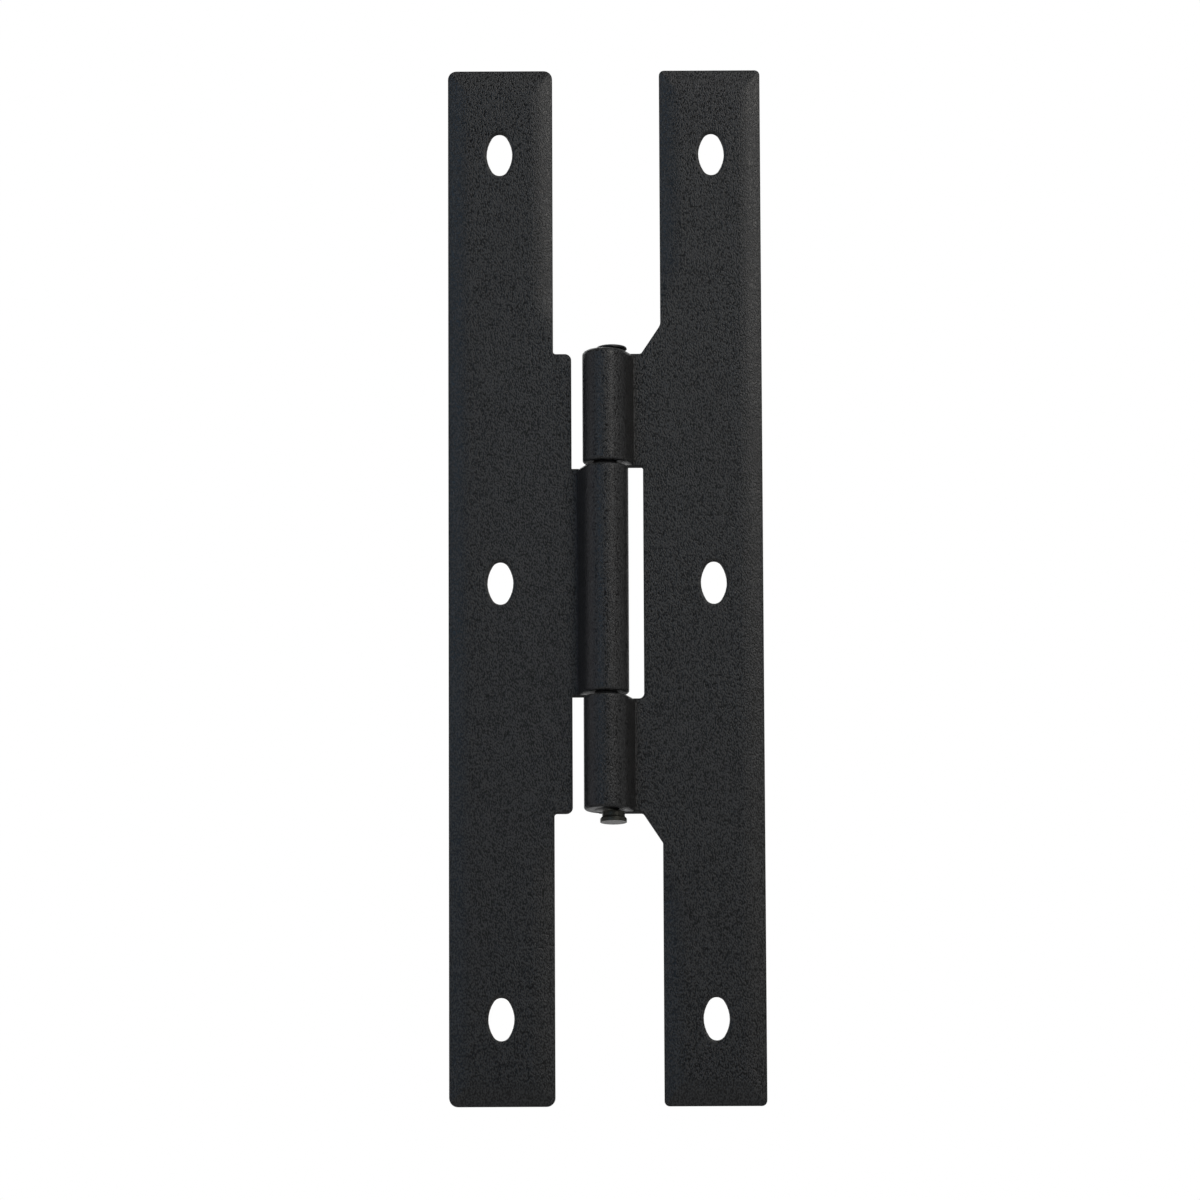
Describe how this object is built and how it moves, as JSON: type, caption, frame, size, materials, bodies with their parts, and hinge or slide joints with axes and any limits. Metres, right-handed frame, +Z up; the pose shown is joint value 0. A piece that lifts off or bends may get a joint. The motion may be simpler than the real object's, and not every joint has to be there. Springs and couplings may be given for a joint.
{
  "type": "h hinge",
  "caption": "Surface-mounted H hinge: tall sheet-steel strips with oval screw slots, joined at mid height by rolled knuckles on a pin, in fine-textured black.",
  "frame": {"origin": "on the pin's axis at mid height, the middle of the hinge when it lies open and flat", "axes": "+Z up along the pin, +X towards the right leaf, +Y out of the back that lies on the door and its frame; the face with the barrel looks along -Y"},
  "size_m": [0.0532, 0.0076, 0.178],
  "materials": {
    "leaf_coating": "fine-textured satin black powder coat",
    "pin_steel": "dark bare steel at the upset ends"
  },
  "bodies": {
    "left_side": {"left_leaf": "leaf_coating"},
    "right_side": {"right_leaf": "leaf_coating", "hinge_pin": "pin_steel"}
  },
  "joints": [
    {"name": "leaf_swing", "type": "hinge", "parent": "left_side", "child": "right_side", "pos_m": [0, 0, 0], "axis": [0, 0, -1], "range_deg": [-105, 180]}
  ]
}
